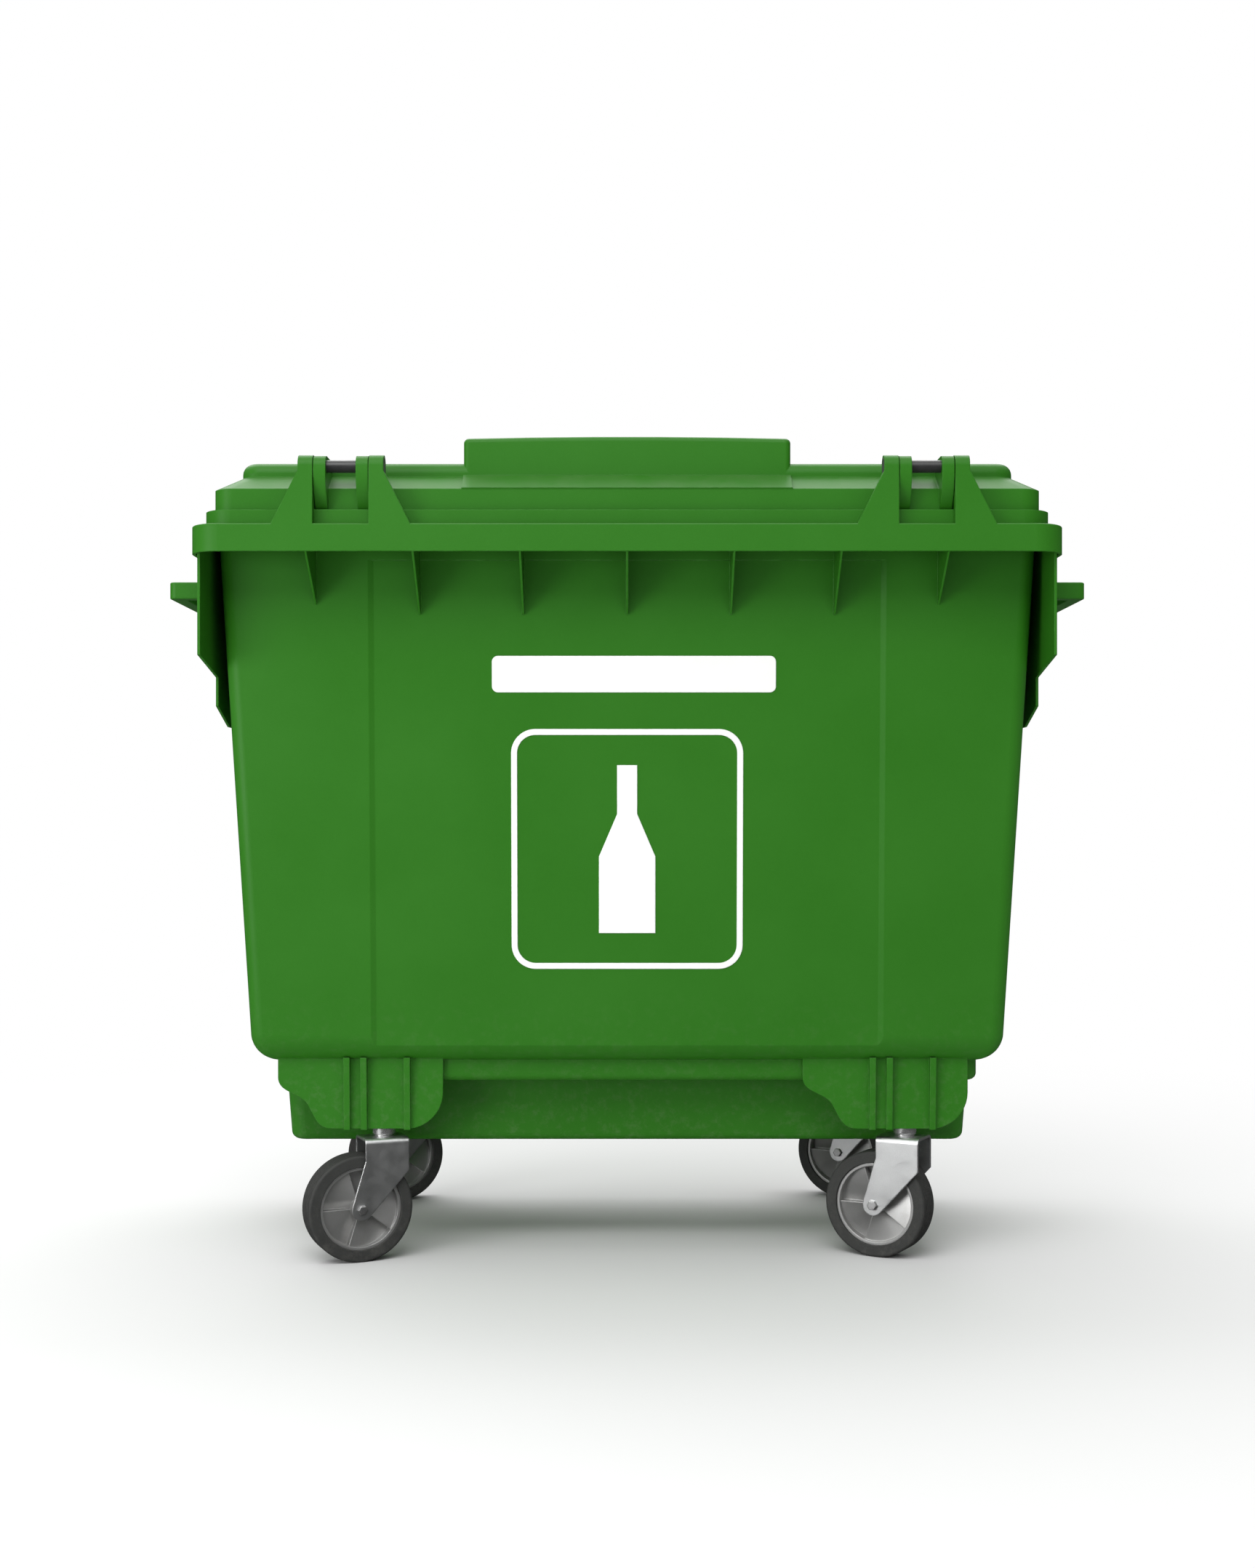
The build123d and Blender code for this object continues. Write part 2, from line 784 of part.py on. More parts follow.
def make_spigot():
    """The steel spigot that stays in the bracket, bored for the king pin."""
    foot = fork_top + race_thickness
    with BuildPart() as spigot:
        with BuildSketch(Plane.XY.offset(foot)):
            Circle(spigot_radius)
            Circle(kingpin_radius, mode=Mode.SUBTRACT)
        extrude(amount=spigot_length - 1)
        fillet(spigot.edges().group_by(Axis.Z)[0].sort_by(SortBy.RADIUS)[-1], 1.5)
    return spigot.part


def make_race():
    """The thrust race between spigot and fork."""
    with BuildPart() as race:
        with BuildSketch(Plane.XY.offset(fork_top)):
            Circle(race_radius)
            Circle(kingpin_radius, mode=Mode.SUBTRACT)
        extrude(amount=race_thickness)
    return race.part


def make_kingpin():
    """The bolt that holds the fork up against the spigot."""
    head_top = fork_top - fork_sheet
    with BuildPart() as kingpin:
        with BuildSketch(Plane.XY.offset(head_top)):
            RegularPolygon(kingpin_flats / 2, 6, major_radius=False)
        extrude(amount=-kingpin_head)
        with BuildSketch(Plane.XY.offset(head_top)):
            Circle(kingpin_radius)
        extrude(amount=fork_sheet + race_thickness + spigot_length - 2)
    return kingpin.part


def wheel_plane(across):
    """A plane square to the axle, a given distance across from the wheel's middle."""
    return Plane((trail, across, wheel_radius), x_dir=(1, 0, 0), z_dir=(0, 1, 0))


def make_axle_bolt():
    """The hexagon-headed axle bolt."""
    with BuildPart() as bolt:
        with BuildSketch(wheel_plane(fork_width / 2)):
            RegularPolygon(axle_flats / 2, 6, major_radius=False)
        extrude(amount=axle_head)
        chamfer(bolt.faces().sort_by(Axis.Y)[-1].edges(), 0.6)
        with BuildSketch(wheel_plane(fork_width / 2)):
            Circle(axle_radius)
        extrude(amount=-fork_width - axle_nut - axle_tail)
    return bolt.part


def make_axle_nut():
    """The nut on the far end of the axle bolt."""
    with BuildPart() as nut:
        with BuildSketch(wheel_plane(-fork_width / 2)):
            RegularPolygon(axle_flats / 2, 6, major_radius=False)
            Circle(axle_radius, mode=Mode.SUBTRACT)
        extrude(amount=-axle_nut)
    return nut.part


def make_sleeve():
    """The spacer tube clamped between the fork cheeks, on which the wheel turns."""
    with BuildPart() as sleeve:
        with BuildSketch(wheel_plane(0)):
            Circle(sleeve_radius)
            Circle(axle_radius + running_clearance, mode=Mode.SUBTRACT)
        extrude(amount=fork_inside / 2, both=True)
    return sleeve.part


def turned_to_axle(shape):
    """A shape made about +Z, laid on the axle line."""
    return wheel_plane(0).location * shape


def make_tyre():
    """The rubber tyre with its circumferential tread grooves."""
    inner = wheel_radius - tyre_depth
    half = wheel_width / 2
    pitch = (wheel_width - 2 * tyre_edge_radius) / tread_grooves
    with BuildPart() as tyre:
        with BuildSketch(Plane.XZ):
            with Locations(((inner + wheel_radius) / 2, 0)):
                Rectangle(tyre_depth, wheel_width)
            fillet(vertices().group_by(Axis.X)[-1], tyre_edge_radius)
            for n in range(tread_grooves):
                groove_z = tyre_edge_radius - half + (n + 0.5) * pitch
                with Locations((wheel_radius, groove_z)):
                    Rectangle(2 * groove_depth, groove_width, mode=Mode.SUBTRACT)
        revolve(axis=Axis.Z)
    return turned_to_axle(tyre.part)


def blade(start_angle, end_angle, start_height, end_height):
    """One tilted sector of the wheel centre between two radial lines."""
    outer = wheel_radius - tyre_depth - blade_rim_gap
    inner = sleeve_radius + blade_hub_gap
    with BuildPart() as sector:
        for angle, height in ((start_angle, start_height), (end_angle, end_height)):
            radial = Vector(1, 0, 0).rotate(Axis.Z, angle)
            section = Plane((0, 0, 0), x_dir=radial, z_dir=Vector(0, 1, 0).rotate(Axis.Z, angle))
            with BuildSketch(section):
                with Locations(((inner + outer) / 2, 0)):
                    Rectangle(outer - inner, 2 * height)
        loft(ruled=True)
    return sector.part


def make_wheel_centre():
    """The plastic wheel centre with its fan of tilted sectors."""
    outer = wheel_radius - tyre_depth
    half_pitch = 180 / blade_pairs
    blades = []
    for n in range(blade_pairs):
        start = 2 * n * half_pitch
        blades.append(blade(start, start + half_pitch, blade_high, blade_middle))
        blades.append(blade(start + half_pitch, start + 2 * half_pitch, blade_middle, blade_low))
    with BuildPart() as centre:
        with BuildSketch():
            Circle(outer)
            Circle(outer - hub_rim_wall, mode=Mode.SUBTRACT)
            Circle(hub_boss_radius)
        extrude(amount=hub_width / 2, both=True)
        add(blades)
        with BuildSketch():
            Circle(hub_boss_radius)
        extrude(amount=fork_inside / 2 - boss_side_gap, both=True)
        with BuildSketch():
            Circle(sleeve_radius + running_clearance)
        extrude(amount=fork_inside, both=True, mode=Mode.SUBTRACT)
    return turned_to_axle(centre.part)


def make_brake_pedal():
    """The stirrup that swings down to press its pad on the tyre."""
    pivot = (brake_pivot_along, wheel_radius + brake_pivot_above_axle)
    cheek = fork_width / 2 + brake_side_gap
    full = cheek + brake_sheet
    pad_radius = wheel_radius + pad_gap
    pad_plane = Plane.XZ
    radial = Vector(math.cos(math.radians(pad_angle)), math.sin(math.radians(pad_angle)))
    along = Vector(-radial.Y, radial.X)
    middle = Vector(trail, wheel_radius) + radial * pad_radius
    low = middle - along * pad_half_length
    high = middle + along * pad_half_length
    low_back = low + radial * pad_thickness
    high_back = high + radial * pad_thickness
    tip = (high_back.X + pedal_length, high_back.Y + pedal_rise)
    with BuildPart() as pedal:
        with BuildSketch(pad_plane):
            with BuildLine():
                Polyline(low, high, high_back, low_back, close=True)
            make_face()
            with BuildLine():
                Polyline(
                    high_back - along * brake_sheet,
                    high_back,
                    tip,
                    (tip[0], tip[1] - brake_sheet),
                    close=True,
                )
            make_face()
        extrude(amount=full, both=True)
        for side in (-1, 1):
            with BuildSketch(pad_plane.offset(side * cheek)):
                with BuildLine():
                    Polyline(
                        tangent_point((high_back.X, high_back.Y), pivot, brake_boss, 1),
                        high_back,
                        low_back,
                        tangent_point((low_back.X, low_back.Y), pivot, brake_boss, -1),
                        close=True,
                    )
                make_face()
                with Locations(pivot):
                    Circle(brake_boss)
                    Circle(brake_rivet_radius + running_clearance, mode=Mode.SUBTRACT)
            extrude(amount=side * brake_sheet)
    return pedal.part


def make_brake_rivets():
    """The two shouldered rivets on which a brake pedal swings."""
    pivot = (brake_pivot_along, wheel_radius + brake_pivot_above_axle)
    head = fork_width / 2 + brake_side_gap + brake_sheet + running_clearance
    with BuildPart() as rivets:
        for side in (-1, 1):
            with BuildSketch(Plane.XZ.offset(side * fork_inside / 2)):
                with Locations(pivot):
                    Circle(brake_rivet_radius)
            extrude(amount=side * (head - fork_inside / 2))
            with BuildSketch(Plane.XZ.offset(side * head)):
                with Locations(pivot):
                    Circle(brake_rivet_head)
            extrude(amount=side * brake_sheet / 2)
    return rivets.part


def write_piece(shape, name):
    """Name a finished piece and write it."""
    shape.label = name
    export_step(shape, f"parts/{name}.step")


# Casters: the same pieces at four corners, each turned to its resting direction
caster_pieces = {
    "spigot": make_spigot(),
    "swivel_race": make_race(),
    "axle_bolt": make_axle_bolt(),
    "axle_nut": make_axle_nut(),
    "axle_sleeve": make_sleeve(),
    "wheel_centre": make_wheel_centre(),
    "tyre": make_tyre(),
}
forks = {"rear": make_fork(False), "front": make_fork(True)}
brake_pieces = {"brake_pedal": make_brake_pedal(), "brake_rivets": make_brake_rivets()}
kingpin = make_kingpin()
kingpin_places = []

for row, side in corners:
    for hand, pin_x in caster_x.items():
        pin_y = tub_y + side * caster_offset
        place = Location((pin_x, pin_y, 0), (0, 0, caster_yaw[hand]))
        corner = f"{row}_{hand}"
        kingpin_places.append(place)
        write_piece(place * forks[row], f"fork_{corner}")
        for name, piece in caster_pieces.items():
            write_piece(place * piece, f"{name}_{corner}")
        if row == "front":
            for name, piece in brake_pieces.items():
                write_piece(place * piece, f"{name}_{corner}")

with BuildPart() as kingpins:
    add([place * kingpin for place in kingpin_places])
kingpins.part.label = "kingpins"
export_step(kingpins.part, "parts/kingpins.step")

# Drain plug under the tray, with its seal
with BuildPart() as drain_plug:
    with BuildSketch(Plane((0, tub_y, tray_bottom + tub_wall))):
        Circle(drain_radius - drain_clearance)
    extrude(amount=-tub_wall - seal_thickness)
    with BuildSketch(Plane((0, tub_y, tray_bottom - seal_thickness))):
        Circle(plug_flange_radius)
    extrude(amount=-plug_flange)
    with BuildSketch(Plane((0, tub_y, tray_bottom - seal_thickness - plug_flange))):
        RectangleRounded(plug_bar_length, plug_bar_width, plug_bar_width / 3)
    extrude(amount=-plug_bar_height)
drain_plug.part.label = "drain_plug"
export_step(drain_plug.part, "parts/drain_plug.step")

with BuildPart() as drain_seal:
    with BuildSketch(Plane((0, tub_y, tray_bottom))):
        Circle(plug_flange_radius - seal_inset)
        Circle(drain_radius, mode=Mode.SUBTRACT)
    extrude(amount=-seal_thickness)
drain_seal.part.label = "drain_seal"
export_step(drain_seal.part, "parts/drain_seal.step")


def wall_plane(x, below_rim):
    """A plane on the face of the hinge-side centre panel."""
    z = rim_top - below_rim
    lean = math.radians(draft_angle)
    origin = (x, wall_y(z, -1) + panel_recess, z)
    return Plane(origin, x_dir=(1, 0, 0), z_dir=(0, -math.cos(lean), -math.sin(lean)))


# Plain raised markings: a blank bar and a framed bottle sign
with BuildPart() as label_bar:
    with BuildSketch(wall_plane(label_shift, label_below_rim)):
        RectangleRounded(label_width, label_height, badge_line)
    extrude(amount=mark_thickness)
label_bar.part.label = "label_bar"
export_step(label_bar.part, "parts/label_bar.step")

with BuildPart() as bottle_sign:
    with BuildSketch(wall_plane(0, badge_below_rim)):
        RectangleRounded(badge_width, badge_height, badge_corner)
        RectangleRounded(
            badge_width - 2 * badge_line,
            badge_height - 2 * badge_line,
            badge_corner - badge_line,
            mode=Mode.SUBTRACT,
        )
        neck_foot = bottle_height / 8
        neck_top = bottle_height / 2
        with BuildLine():
            right = Polyline(
                (0, -neck_top),
                (bottle_radius, -neck_top),
                (bottle_radius, neck_foot - bottle_radius),
                (bottle_neck_radius, neck_foot + bottle_radius / 2),
                (bottle_neck_radius, neck_top),
                (0, neck_top),
            )
            mirror(right, about=Plane.YZ)
        make_face()
    extrude(amount=mark_thickness)
bottle_sign.part.label = "bottle_sign"
export_step(bottle_sign.part, "parts/bottle_sign.step")
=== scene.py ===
import json
import math
import bmesh
import bpy
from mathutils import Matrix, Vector


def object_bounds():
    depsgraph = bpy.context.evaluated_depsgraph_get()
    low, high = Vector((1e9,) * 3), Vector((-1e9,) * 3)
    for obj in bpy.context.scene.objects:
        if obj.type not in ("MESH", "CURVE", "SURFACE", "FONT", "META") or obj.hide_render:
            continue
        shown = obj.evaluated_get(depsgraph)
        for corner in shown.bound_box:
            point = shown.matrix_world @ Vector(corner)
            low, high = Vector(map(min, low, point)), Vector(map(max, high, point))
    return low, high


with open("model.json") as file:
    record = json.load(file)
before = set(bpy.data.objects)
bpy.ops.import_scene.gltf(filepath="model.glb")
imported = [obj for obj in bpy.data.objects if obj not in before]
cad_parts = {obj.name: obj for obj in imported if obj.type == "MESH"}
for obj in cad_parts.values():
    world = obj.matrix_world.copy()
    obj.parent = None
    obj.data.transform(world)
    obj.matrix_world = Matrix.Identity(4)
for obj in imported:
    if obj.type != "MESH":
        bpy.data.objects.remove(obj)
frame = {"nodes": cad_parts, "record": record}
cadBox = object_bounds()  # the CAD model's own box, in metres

nodes = frame["nodes"]
scene = bpy.context.scene
scene.view_settings.view_transform = "Standard"
print("frame loaded:", len(nodes), "CAD pieces")


# shader helpers

def newNode(tree, kind, **values):
    node = tree.nodes.new(kind)
    for key, value in values.items():
        setattr(node, key, value)
    return node


def join(tree, out, into):
    tree.links.new(out, into)


def feed(tree, socket, value):  # sets a number or a colour, and links anything else
    if isinstance(value, (int, float)):
        socket.default_value = value
    elif isinstance(value, tuple):
        socket.default_value = (*value, 1.0)
    else:
        join(tree, value, socket)


def mathNode(tree, operation, a, b, clamp=False):
    node = newNode(tree, "ShaderNodeMath", operation=operation, use_clamp=clamp)
    feed(tree, node.inputs[0], a)
    feed(tree, node.inputs[1], b)
    return node.outputs[0]


def noiseNode(tree, coords, scale, detail, roughness=0.55):
    node = newNode(tree, "ShaderNodeTexNoise")
    node.inputs["Detail"].default_value = detail
    node.inputs["Roughness"].default_value = roughness
    feed(tree, node.inputs["Scale"], scale)
    join(tree, coords, node.inputs["Vector"])
    return node.outputs["Fac"]


def rampNode(tree, value, edges, ends=(0.0, 1.0), curve="LINEAR"):
    node = newNode(tree, "ShaderNodeMapRange", clamp=True, interpolation_type=curve)
    node.inputs["From Min"].default_value, node.inputs["From Max"].default_value = edges
    node.inputs["To Min"].default_value, node.inputs["To Max"].default_value = ends
    join(tree, value, node.inputs["Value"])
    return node.outputs["Result"]


def mixColour(tree, factor, a, b):
    node = newNode(tree, "ShaderNodeMix", data_type="RGBA")
    join(tree, factor, node.inputs["Factor"])
    feed(tree, node.inputs["A"], a)
    feed(tree, node.inputs["B"], b)
    return node.outputs["Result"]


def mixShader(tree, factor, a, b):
    node = newNode(tree, "ShaderNodeMixShader")
    join(tree, factor, node.inputs["Fac"])
    join(tree, a, node.inputs[1])
    join(tree, b, node.inputs[2])
    return node.outputs[0]


# effects shared by several finishes

def startGroup(name, inputs, outputs):
    tree = bpy.data.node_groups.new(name, "ShaderNodeTree")
    for label, value in inputs.items():
        socket = tree.interface.new_socket(label, in_out="INPUT", socket_type="NodeSocketFloat")
        socket.default_value = value
    for label, kind in outputs.items():
        tree.interface.new_socket(label, in_out="OUTPUT", socket_type="NodeSocket" + kind)
    return tree, tree.nodes.new("NodeGroupInput"), tree.nodes.new("NodeGroupOutput")


grainLook = {
    "inputs": {"Grain Scale": 900.0, "Wave Scale": 6.0},
    "fineDetail": 3.0, "waveDetail": 4.0, "waveShare": 2.0,
    "patchEdges": (0.3, 0.7), "speckEdges": (0.35, 0.75),
}


def makeGrain(look):  # fine moulding grain and slow unevenness
    outputs = {"Height": "Float", "Patch": "Float", "Speck": "Float"}
    tree, start, end = startGroup("surfaceGrain", look["inputs"], outputs)
    coords = newNode(tree, "ShaderNodeTexCoord").outputs["Object"]
    fine = noiseNode(tree, coords, start.outputs["Grain Scale"], look["fineDetail"])
    wave = noiseNode(tree, coords, start.outputs["Wave Scale"], look["waveDetail"])
    height = mathNode(tree, "ADD", fine, mathNode(tree, "MULTIPLY", wave, look["waveShare"]))
    join(tree, height, end.inputs["Height"])
    join(tree, rampNode(tree, wave, look["patchEdges"]), end.inputs["Patch"])
    join(tree, rampNode(tree, fine, look["speckEdges"]), end.inputs["Speck"])
    return tree


edgeLook = {
    "inputs": {"Amount": 1.0, "Breakup": 60.0},
    "radius": 0.0022, "samples": 4, "turnEdges": (0.02, 0.25),
    "patchDetail": 5.0, "patchRoughness": 0.7, "patchEdges": (0.42, 0.62),
}


def makeEdgeWear(look):  # where handling has rubbed the edges pale
    outputs = {"Mask": "Float", "Normal": "Vector"}
    tree, start, end = startGroup("edgeWear", look["inputs"], outputs)
    bevel = newNode(tree, "ShaderNodeBevel", samples=look["samples"])
    bevel.inputs["Radius"].default_value = look["radius"]
    dot = newNode(tree, "ShaderNodeVectorMath", operation="DOT_PRODUCT")
    join(tree, bevel.outputs["Normal"], dot.inputs[0])
    join(tree, newNode(tree, "ShaderNodeNewGeometry").outputs["Normal"], dot.inputs[1])
    edge = mathNode(tree, "SUBTRACT", 1.0, dot.outputs["Value"], True)
    coords = newNode(tree, "ShaderNodeTexCoord").outputs["Object"]
    breakup = noiseNode(tree, coords, start.outputs["Breakup"], look["patchDetail"], look["patchRoughness"])
    patches = rampNode(tree, breakup, look["patchEdges"])
    worn = mathNode(tree, "MULTIPLY", rampNode(tree, edge, look["turnEdges"]), patches)
    join(tree, mathNode(tree, "MULTIPLY", worn, start.outputs["Amount"], True), end.inputs["Mask"])
    join(tree, bevel.outputs["Normal"], end.inputs["Normal"])
    return tree


dustLook = {
    "inputs": {"Dust": 0.2, "Splash": 0.3, "Splash Height": 0.35},
    "mottleScale": 14.0, "mottleDetail": 6.0, "mottleRoughness": 0.65, "mottleEdges": (0.3, 0.75),
    "dropScale": 70.0, "dropDetail": 5.0, "dropRoughness": 0.75, "dropEdges": (0.5, 0.72),
    "facingEdges": (0.25, 1.0),
}


def makeDust(look):  # dust that lies on what faces up, and splashes near the ground
    tree, start, end = startGroup("dustAndSplash", look["inputs"], {"Mask": "Float"})
    coords = newNode(tree, "ShaderNodeTexCoord").outputs["Object"]
    facing = newNode(tree, "ShaderNodeSeparateXYZ")
    join(tree, newNode(tree, "ShaderNodeNewGeometry").outputs["Normal"], facing.inputs[0])
    place = newNode(tree, "ShaderNodeSeparateXYZ")
    join(tree, coords, place.inputs[0])
    mottle = noiseNode(tree, coords, look["mottleScale"], look["mottleDetail"], look["mottleRoughness"])
    mottled = rampNode(tree, mottle, look["mottleEdges"])
    upward = rampNode(tree, facing.outputs["Z"], look["facingEdges"])
    lying = mathNode(tree, "MULTIPLY", upward, start.outputs["Dust"])
    height = mathNode(tree, "DIVIDE", place.outputs["Z"], start.outputs["Splash Height"])
    low = mathNode(tree, "SUBTRACT", 1.0, height, True)
    drop = noiseNode(tree, coords, look["dropScale"], look["dropDetail"], look["dropRoughness"])
    drops = rampNode(tree, drop, look["dropEdges"])
    splash = mathNode(tree, "MULTIPLY", mathNode(tree, "MULTIPLY", low, drops), start.outputs["Splash"])
    both = mathNode(tree, "ADD", mathNode(tree, "MULTIPLY", lying, mottled), splash, True)
    join(tree, both, end.inputs["Mask"])
    return tree


surfaceGrain = makeGrain(grainLook)
edgeWear = makeEdgeWear(edgeLook)
dustAndSplash = makeDust(dustLook)
print("shared effects ready")


# finishes: one dictionary for each, all made by the same function

dustRoughness = 0.3  # what a full layer of dust adds to the roughness


def placeGroup(tree, group, values):
    node = newNode(tree, "ShaderNodeGroup", node_tree=group)
    for label, value in values.items():
        node.inputs[label].default_value = value
    return node


def makeFinish(name, look):
    material = bpy.data.materials.new(name)
    material.use_nodes = True
    tree = material.node_tree
    shader = tree.nodes["Principled BSDF"]
    grain = placeGroup(tree, surfaceGrain, {"Grain Scale": look["grainScale"],
                                            "Wave Scale": look["waveScale"]})
    wear = placeGroup(tree, edgeWear, {"Amount": look["wear"], "Breakup": look["wearBreakup"]})
    dust = placeGroup(tree, dustAndSplash, {"Dust": look["dust"], "Splash": look["splash"],
                                            "Splash Height": look["splashHeight"]})
    base = mixColour(tree, grain.outputs["Patch"], look["colour"], look["patchColour"])
    specks = mathNode(tree, "MULTIPLY", grain.outputs["Speck"], look["speck"])
    speckled = mixColour(tree, specks, base, look["speckColour"])
    worn = mixColour(tree, wear.outputs["Mask"], speckled, look["wearColour"])
    dusty = mixColour(tree, dust.outputs["Mask"], worn, look["dustColour"])
    join(tree, dusty, shader.inputs["Base Color"])
    shine = rampNode(tree, grain.outputs["Patch"], (0.0, 1.0), look["roughness"])
    dull = mathNode(tree, "MULTIPLY", dust.outputs["Mask"], dustRoughness)
    join(tree, mathNode(tree, "ADD", shine, dull, True), shader.inputs["Roughness"])
    bump = newNode(tree, "ShaderNodeBump")
    bump.inputs["Strength"].default_value = look["bump"]
    bump.inputs["Distance"].default_value = look["bumpDepth"]
    join(tree, grain.outputs["Height"], bump.inputs["Height"])
    join(tree, wear.outputs["Normal"], bump.inputs["Normal"])
    join(tree, bump.outputs["Normal"], shader.inputs["Normal"])
    shader.inputs["Metallic"].default_value = look["metallic"]
    shader.inputs["Specular IOR Level"].default_value = look["specular"]
    return material


tubPlastic = {
    "colour": (0.020, 0.134, 0.0065), "patchColour": (0.023, 0.145, 0.008),
    "speckColour": (0.03, 0.17, 0.014), "speck": 0.25,
    "wearColour": (0.10, 0.30, 0.075), "wear": 0.45, "wearBreakup": 45.0,
    "dust": 0.12, "splash": 0.25, "splashHeight": 0.42, "dustColour": (0.22, 0.24, 0.17),
    "grainScale": 700.0, "waveScale": 5.0, "bump": 0.25, "bumpDepth": 0.0004,
    "roughness": (0.38, 0.46), "metallic": 0.0, "specular": 0.16,
}
lidPlastic = dict(tubPlastic, dust=0.2, splash=0.0, roughness=(0.36, 0.44))
blackRod = {
    "colour": (0.014, 0.014, 0.015), "patchColour": (0.02, 0.02, 0.021),
    "speckColour": (0.05, 0.05, 0.05), "speck": 0.15,
    "wearColour": (0.08, 0.08, 0.08), "wear": 0.5, "wearBreakup": 120.0,
    "dust": 0.15, "splash": 0.0, "splashHeight": 0.3, "dustColour": (0.2, 0.2, 0.18),
    "grainScale": 1500.0, "waveScale": 40.0, "bump": 0.15, "bumpDepth": 0.0002,
    "roughness": (0.28, 0.4), "metallic": 0.0, "specular": 0.5,
}
blackPlastic = dict(blackRod, colour=(0.022, 0.022, 0.022), roughness=(0.45, 0.6), grainScale=1000.0)
pedalPaint = dict(blackRod, colour=(0.42, 0.035, 0.02), patchColour=(0.46, 0.04, 0.022),
                  speckColour=(0.6, 0.08, 0.05), wearColour=(0.5, 0.5, 0.5), wear=0.8,
                  roughness=(0.35, 0.45), splash=0.2)
tyreRubber = {
    "colour": (0.020, 0.021, 0.020), "patchColour": (0.027, 0.028, 0.026),
    "speckColour": (0.075, 0.075, 0.07), "speck": 0.3,
    "wearColour": (0.09, 0.09, 0.085), "wear": 0.5, "wearBreakup": 150.0,
    "dust": 0.08, "splash": 0.22, "splashHeight": 0.14, "dustColour": (0.16, 0.15, 0.135),
    "grainScale": 1100.0, "waveScale": 30.0, "bump": 0.3, "bumpDepth": 0.0004,
    "roughness": (0.62, 0.78), "metallic": 0.0, "specular": 0.4,
}
sealRubber = dict(tyreRubber, colour=(0.02, 0.02, 0.02), patchColour=(0.03, 0.03, 0.03))
wheelPlastic = {
    "colour": (0.36, 0.36, 0.355), "patchColour": (0.39, 0.39, 0.385),
    "speckColour": (0.55, 0.55, 0.54), "speck": 0.3,
    "wearColour": (0.7, 0.7, 0.69), "wear": 0.4, "wearBreakup": 90.0,
    "dust": 0.1, "splash": 0.3, "splashHeight": 0.16, "dustColour": (0.3, 0.28, 0.24),
    "grainScale": 1300.0, "waveScale": 22.0, "bump": 0.2, "bumpDepth": 0.0003,
    "roughness": (0.36, 0.46), "metallic": 0.75, "specular": 0.5,
}
galvanised = {
    "colour": (0.60, 0.61, 0.61), "patchColour": (0.63, 0.64, 0.64),
    "speckColour": (0.85, 0.85, 0.85), "speck": 0.4,
    "wearColour": (0.9, 0.9, 0.89), "wear": 1.0, "wearBreakup": 80.0,
    "dust": 0.05, "splash": 0.1, "splashHeight": 0.2, "dustColour": (0.35, 0.33, 0.29),
    "grainScale": 1300.0, "waveScale": 40.0, "bump": 0.35, "bumpDepth": 0.0003,
    "roughness": (0.30, 0.42), "metallic": 1.0, "specular": 0.5,
}
turnedSteel = dict(galvanised, colour=(0.42, 0.42, 0.42), patchColour=(0.5, 0.5, 0.5), metallic=0.9,
                   roughness=(0.22, 0.35), waveScale=90.0)
zincFastener = dict(galvanised, colour=(0.36, 0.36, 0.36), patchColour=(0.42, 0.42, 0.42),
                    roughness=(0.35, 0.5), grainScale=900.0, wear=0.7)
whiteFilm = {
    "colour": (0.84, 0.86, 0.83), "patchColour": (0.78, 0.81, 0.77),
    "speckColour": (0.6, 0.7, 0.58), "speck": 0.2,
    "wearColour": (0.25, 0.45, 0.22), "wear": 0.5, "wearBreakup": 180.0,
    "dust": 0.05, "splash": 0.05, "splashHeight": 0.8, "dustColour": (0.5, 0.52, 0.45),
    "grainScale": 800.0, "waveScale": 12.0, "bump": 0.15, "bumpDepth": 0.0002,
    "roughness": (0.4, 0.5), "metallic": 0.0, "specular": 0.5,
}

finishes = {  # by the record's material slots
    "tub_plastic": makeFinish("tubPlastic", tubPlastic),
    "lid_plastic": makeFinish("lidPlastic", lidPlastic),
    "hinge_rod": makeFinish("blackRod", blackRod),
    "black_plastic": makeFinish("blackPlastic", blackPlastic),
    "tyre_rubber": makeFinish("tyreRubber", tyreRubber),
    "wheel_plastic": makeFinish("wheelPlastic", wheelPlastic),
    "galvanised_sheet": makeFinish("galvanised", galvanised),
    "pedal_sheet": makeFinish("pedalPaint", pedalPaint),
    "turned_steel": makeFinish("turnedSteel", turnedSteel),
    "zinc_fasteners": makeFinish("zincFastener", zincFastener),
    "seal_rubber": makeFinish("sealRubber", sealRubber),
    "white_marking": makeFinish("whiteFilm", whiteFilm),
}

for part in frame["record"]["subparts"]:
    piece = nodes[part["node"]]
    piece.data.materials.clear()
    piece.data.materials.append(finishes[part["material_slot"]])
print("finishes on", len(nodes), "pieces")


# studio: floor, light and camera

white = (1.0, 1.0, 1.0, 1.0)
studioFloor = {
    "halfSize": 60.0, "cells": 24, "colour": (0.80, 0.80, 0.80), "patchColour": (0.79, 0.79, 0.79),
    "cloudScale": 1.5, "cloudDetail": 3.0, "cloudEdges": (0.3, 0.7), "roughness": 0.9, "specular": 0.1,
    "seen": (0.67, 0.67, 0.67),  # to the eye, so that it isn't overexposed
    "mirrored": (0.06, 0.06, 0.06),  # in what shines
    "fade": (1.1, 2.6),  # the distances between which it runs into the backdrop
}
softBoxes = {
    "keyBox": {"place": (-0.6, -3.5, 3.8), "aim": (0.0, 0.0, 0.6), "size": (3.2, 2.4), "power": 104.0},
    "topBox": {"place": (-0.3, 1.7, 3.9), "aim": (0.0, 0.0, 1.1), "size": (4.6, 3.0), "power": 125.0},
    "sideBox": {"place": (-3.0, -2.9, 0.85), "aim": (0.2, -0.3, 0.5), "size": (1.9, 1.3), "power": 62.0},
}
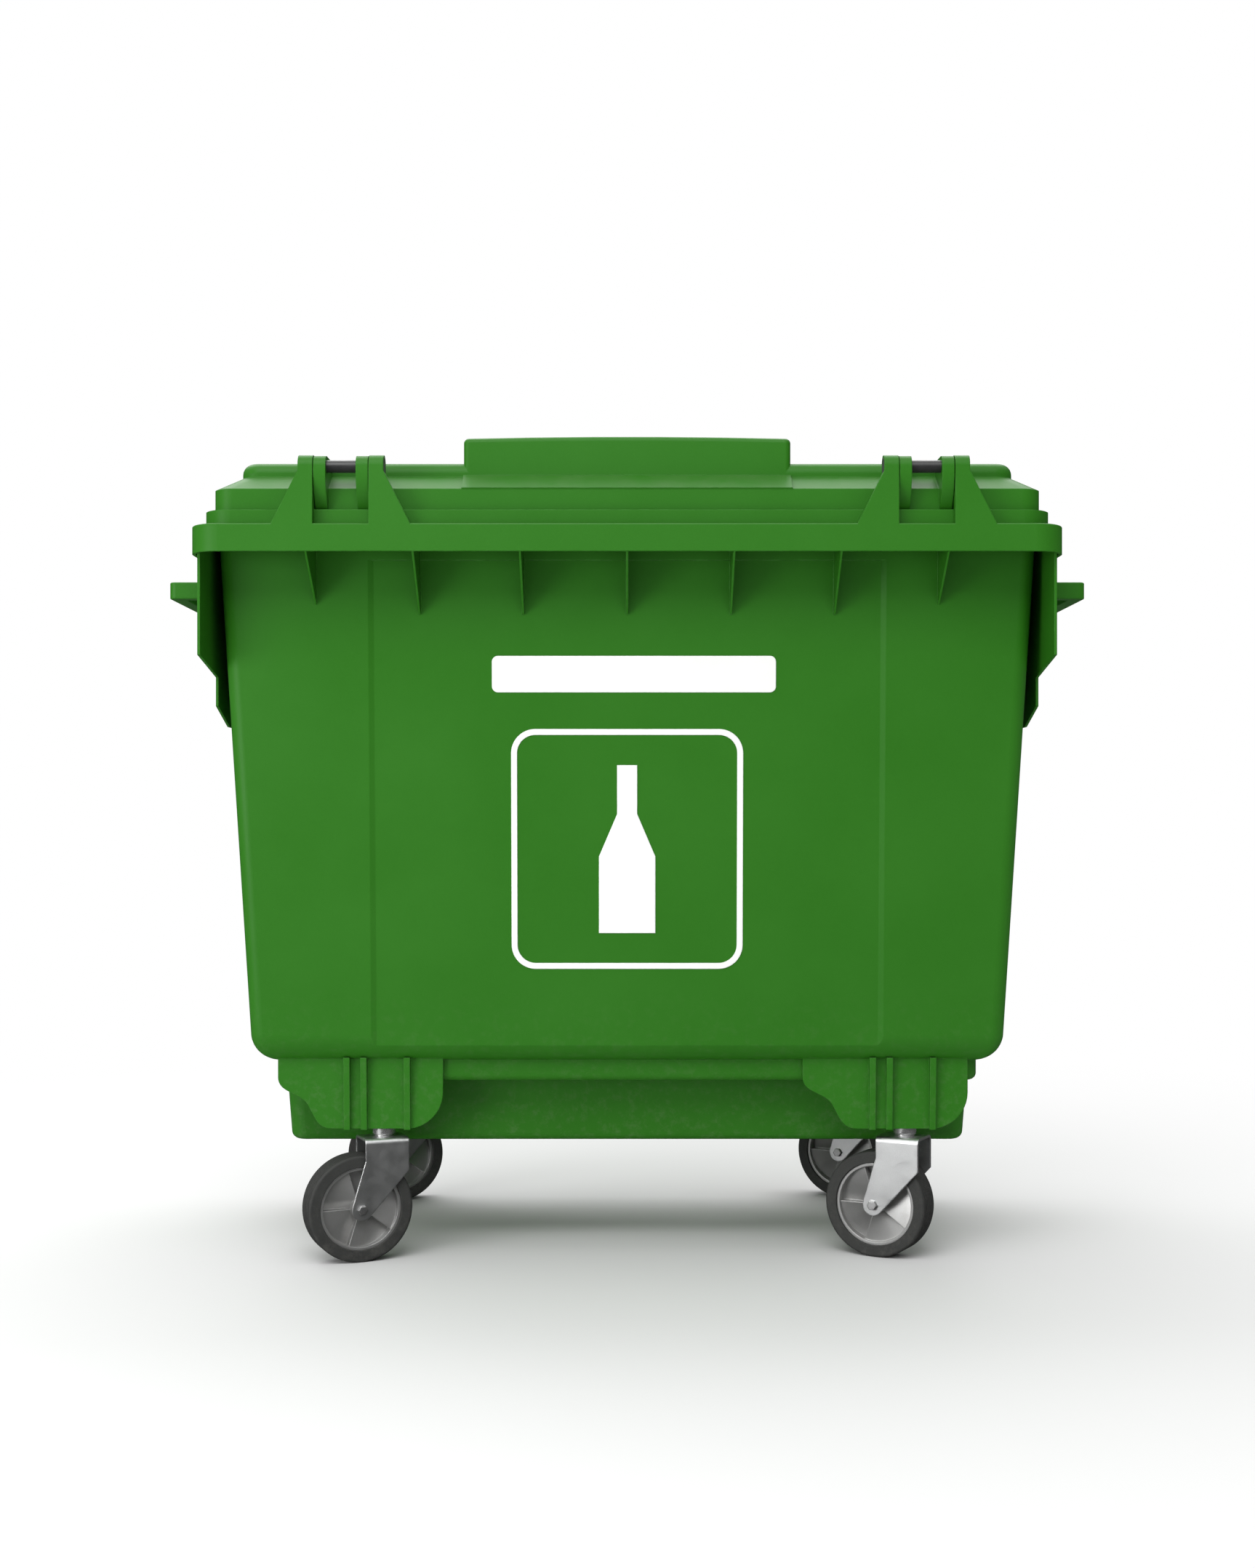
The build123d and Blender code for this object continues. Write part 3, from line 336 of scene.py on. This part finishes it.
skyLight = {  # strong from above and slightly from the left, weak towards the horizon
    "brightSide": (-0.10, -0.14, 0.985), "edges": (0.14, 0.92), "strength": (0.03, 1.25), "backdrop": 1.0,
}
view = {
    "sideways": 0.0005, "beforeRim": 2.70, "eyeHeight": 0.649,
    "sensor": 36.0, "lens": 43.5473, "shiftUp": 0.028757,
}


def makeFloorFinish(look):
    material = bpy.data.materials.new("paleFloor")
    material.use_nodes = True
    tree = material.node_tree
    shader = tree.nodes["Principled BSDF"]
    coords = newNode(tree, "ShaderNodeTexCoord").outputs["Object"]
    clouds = noiseNode(tree, coords, look["cloudScale"], look["cloudDetail"])
    tint = mixColour(tree, rampNode(tree, clouds, look["cloudEdges"]), look["colour"], look["patchColour"])
    join(tree, tint, shader.inputs["Base Color"])
    shader.inputs["Roughness"].default_value = look["roughness"]
    shader.inputs["Specular IOR Level"].default_value = look["specular"]
    seen = newNode(tree, "ShaderNodeBsdfDiffuse")
    seen.inputs["Color"].default_value = (*look["seen"], 1.0)
    mirrored = newNode(tree, "ShaderNodeBsdfDiffuse")
    mirrored.inputs["Color"].default_value = (*look["mirrored"], 1.0)
    glow = newNode(tree, "ShaderNodeEmission")
    path = newNode(tree, "ShaderNodeLightPath")
    near = mixShader(tree, path.outputs["Is Camera Ray"], shader.outputs[0], seen.outputs[0])
    distance = newNode(tree, "ShaderNodeVectorMath", operation="LENGTH")
    join(tree, coords, distance.inputs[0])
    far = rampNode(tree, distance.outputs["Value"], look["fade"], curve="SMOOTHSTEP")
    faded = mixShader(tree, far, near, glow.outputs[0])
    whole = mixShader(tree, path.outputs["Is Glossy Ray"], faded, mirrored.outputs[0])
    join(tree, whole, tree.nodes["Material Output"].inputs["Surface"])
    return material


def makeFloor(look):
    mesh = bpy.data.meshes.new("floor")
    build = bmesh.new()
    bmesh.ops.create_grid(build, x_segments=look["cells"], y_segments=look["cells"], size=look["halfSize"])
    build.to_mesh(mesh)
    build.free()
    mesh.materials.append(makeFloorFinish(look))
    floor = bpy.data.objects.new("floor", mesh)
    scene.collection.objects.link(floor)


def makeSoftBox(name, look):
    data = bpy.data.lights.new(name, "AREA")
    data.shape = "RECTANGLE"
    data.size, data.size_y = look["size"]
    data.energy = look["power"]
    box = bpy.data.objects.new(name, data)
    place = Vector(look["place"])
    box.location = place
    box.rotation_mode = "QUATERNION"
    box.rotation_quaternion = (place - Vector(look["aim"])).to_track_quat("Z", "Y")
    box.visible_camera = False
    scene.collection.objects.link(box)


def makeSky(look):
    world = bpy.data.worlds.new("studio")
    scene.world = world
    world.use_nodes = True
    tree = world.node_tree
    light = tree.nodes["Background"]
    light.inputs["Color"].default_value = white
    towards = newNode(tree, "ShaderNodeVectorMath", operation="DOT_PRODUCT")
    towards.inputs[1].default_value = look["brightSide"]
    join(tree, newNode(tree, "ShaderNodeTexCoord").outputs["Generated"], towards.inputs[0])
    strength = rampNode(tree, towards.outputs["Value"], look["edges"], look["strength"], "SMOOTHSTEP")
    join(tree, strength, light.inputs["Strength"])
    backdrop = newNode(tree, "ShaderNodeBackground")
    backdrop.inputs["Color"].default_value = white
    backdrop.inputs["Strength"].default_value = look["backdrop"]
    path = newNode(tree, "ShaderNodeLightPath")
    whole = mixShader(tree, path.outputs["Is Camera Ray"], light.outputs[0], backdrop.outputs[0])
    join(tree, whole, tree.nodes["World Output"].inputs["Surface"])


def makeCamera(look):  # level, near the middle, before the rim on the hinge side
    data = bpy.data.cameras.new("camera")
    camera = bpy.data.objects.new("camera", data)
    scene.collection.objects.link(camera)
    camera.location = (look["sideways"], cadBox[0].y - look["beforeRim"], look["eyeHeight"])
    camera.rotation_euler = (math.radians(90), 0, 0)
    data.sensor_width = look["sensor"]
    data.lens = look["lens"]
    data.shift_y = look["shiftUp"]
    data.dof.use_dof = False
    scene.camera = camera


makeFloor(studioFloor)
for boxName, boxLook in softBoxes.items():
    makeSoftBox(boxName, boxLook)
makeSky(skyLight)
makeCamera(view)
print("studio ready")
